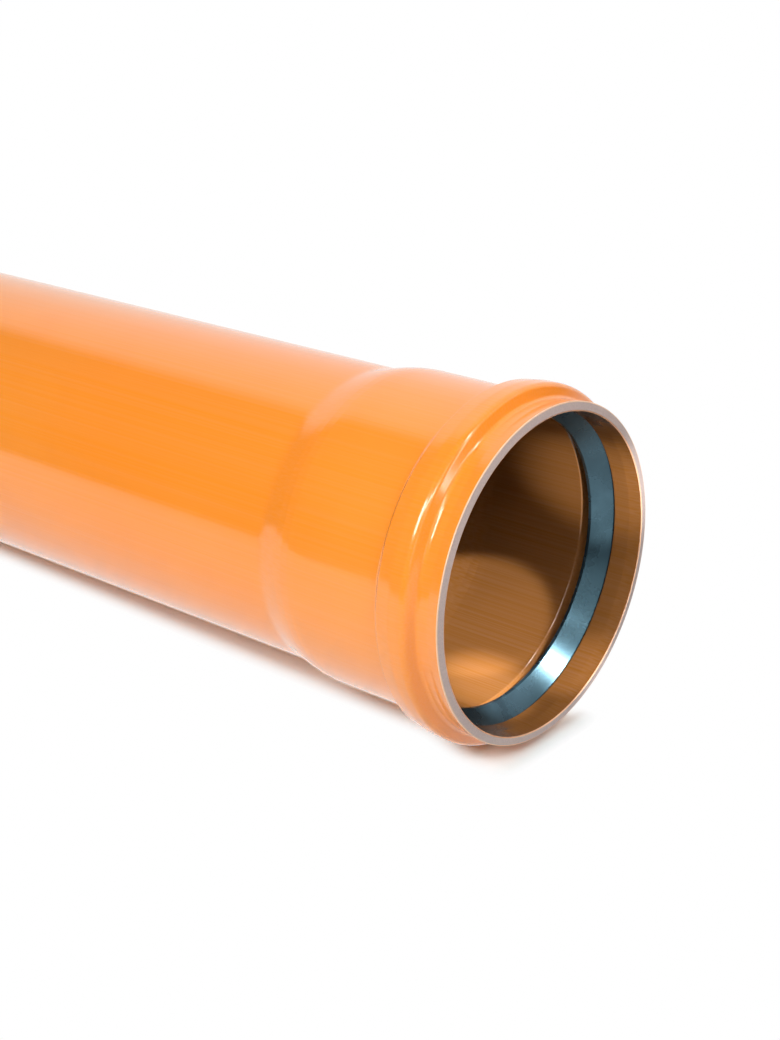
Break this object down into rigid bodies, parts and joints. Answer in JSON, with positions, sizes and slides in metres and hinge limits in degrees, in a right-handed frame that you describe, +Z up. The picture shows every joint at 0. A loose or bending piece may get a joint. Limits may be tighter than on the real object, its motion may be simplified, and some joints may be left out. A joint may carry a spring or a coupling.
{
  "type": "sewer pipe",
  "caption": "Orange plastic sewer pipe with a chamfered spigot at one end and a beaded push-fit socket with a rubber lip seal at the other.",
  "frame": {"origin": "on the floor under the middle of the pipe's length, below its axis", "axes": "+X towards the mouth of the socket along the floor, +Z up; the pipe's axis rises 0.9 degrees towards the mouth, because the bead and the spigot carry it"},
  "size_m": [0.5692, 0.1266, 0.1266],
  "materials": {
    "pipe_plastic": "smooth orange PVC with a soft gloss; the cut ends show a mauve-grey core between thin orange skins",
    "seal_rubber": "smooth blue-black rubber, slightly greased"
  },
  "bodies": {
    "root": {"pipe": "pipe_plastic", "seal_ring": "seal_rubber"}
  },
  "joints": []
}
